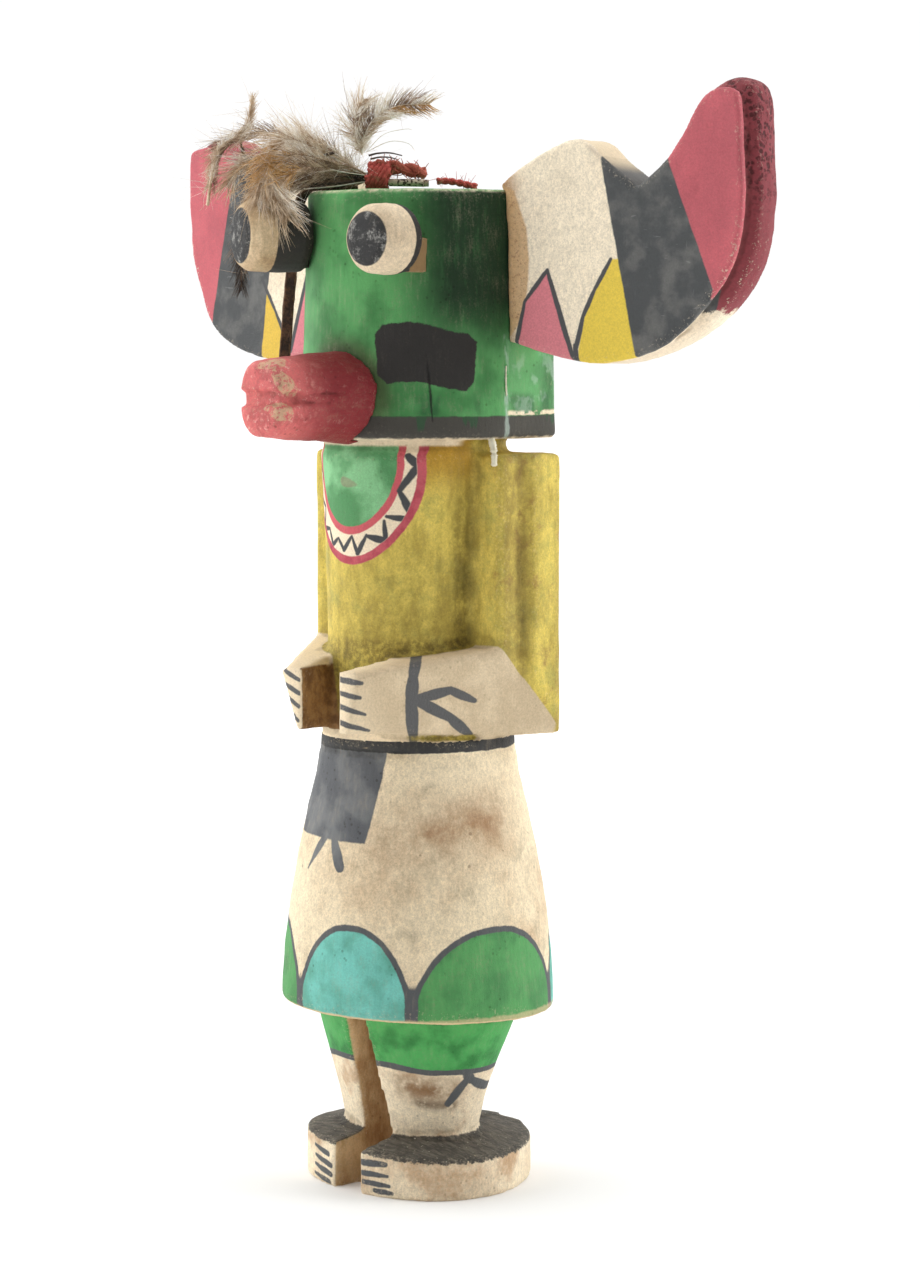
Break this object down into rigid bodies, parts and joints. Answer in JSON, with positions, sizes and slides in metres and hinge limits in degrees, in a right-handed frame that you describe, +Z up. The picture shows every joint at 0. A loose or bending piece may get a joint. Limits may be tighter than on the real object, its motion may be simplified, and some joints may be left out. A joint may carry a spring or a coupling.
{
  "type": "carved figurine",
  "caption": "Carved and painted wooden kachina doll, standing, with broad ears, a snout, peg eyes and a feather tie on its crown",
  "frame": {"origin": "on the ground under the middle of the doll's box", "axes": "+Z up along the doll's height, +X towards the doll's own left ear, -Y the way its face and snout point"},
  "size_m": [0.1724, 0.0826, 0.2507],
  "materials": {
    "figure": "matte painted, worn and stained",
    "left_ear": "matte painted, worn edges",
    "right_ear": "matte painted, worn edges",
    "snout": "matte painted, chipped",
    "left_eye": "matte painted",
    "right_eye": "matte painted",
    "feather_tuft": "soft and downy",
    "crest_feather": "soft, striped",
    "yarn_wrap": "wound yarn",
    "yarn_tail": "fuzzy yarn",
    "quill_ends": "dull horn-like quill",
    "red_strip": "fuzzy yarn",
    "leather_strip": "dry and dull"
  },
  "bodies": {
    "root": {"figure": "figure", "left_ear": "left_ear", "right_ear": "right_ear", "snout": "snout", "left_eye": "left_eye", "right_eye": "right_eye", "feather_tuft": "feather_tuft", "crest_feather": "crest_feather", "yarn_wrap": "yarn_wrap", "yarn_tail": "yarn_tail", "quill_ends": "quill_ends", "red_strip": "red_strip", "leather_strip": "leather_strip"}
  },
  "joints": []
}
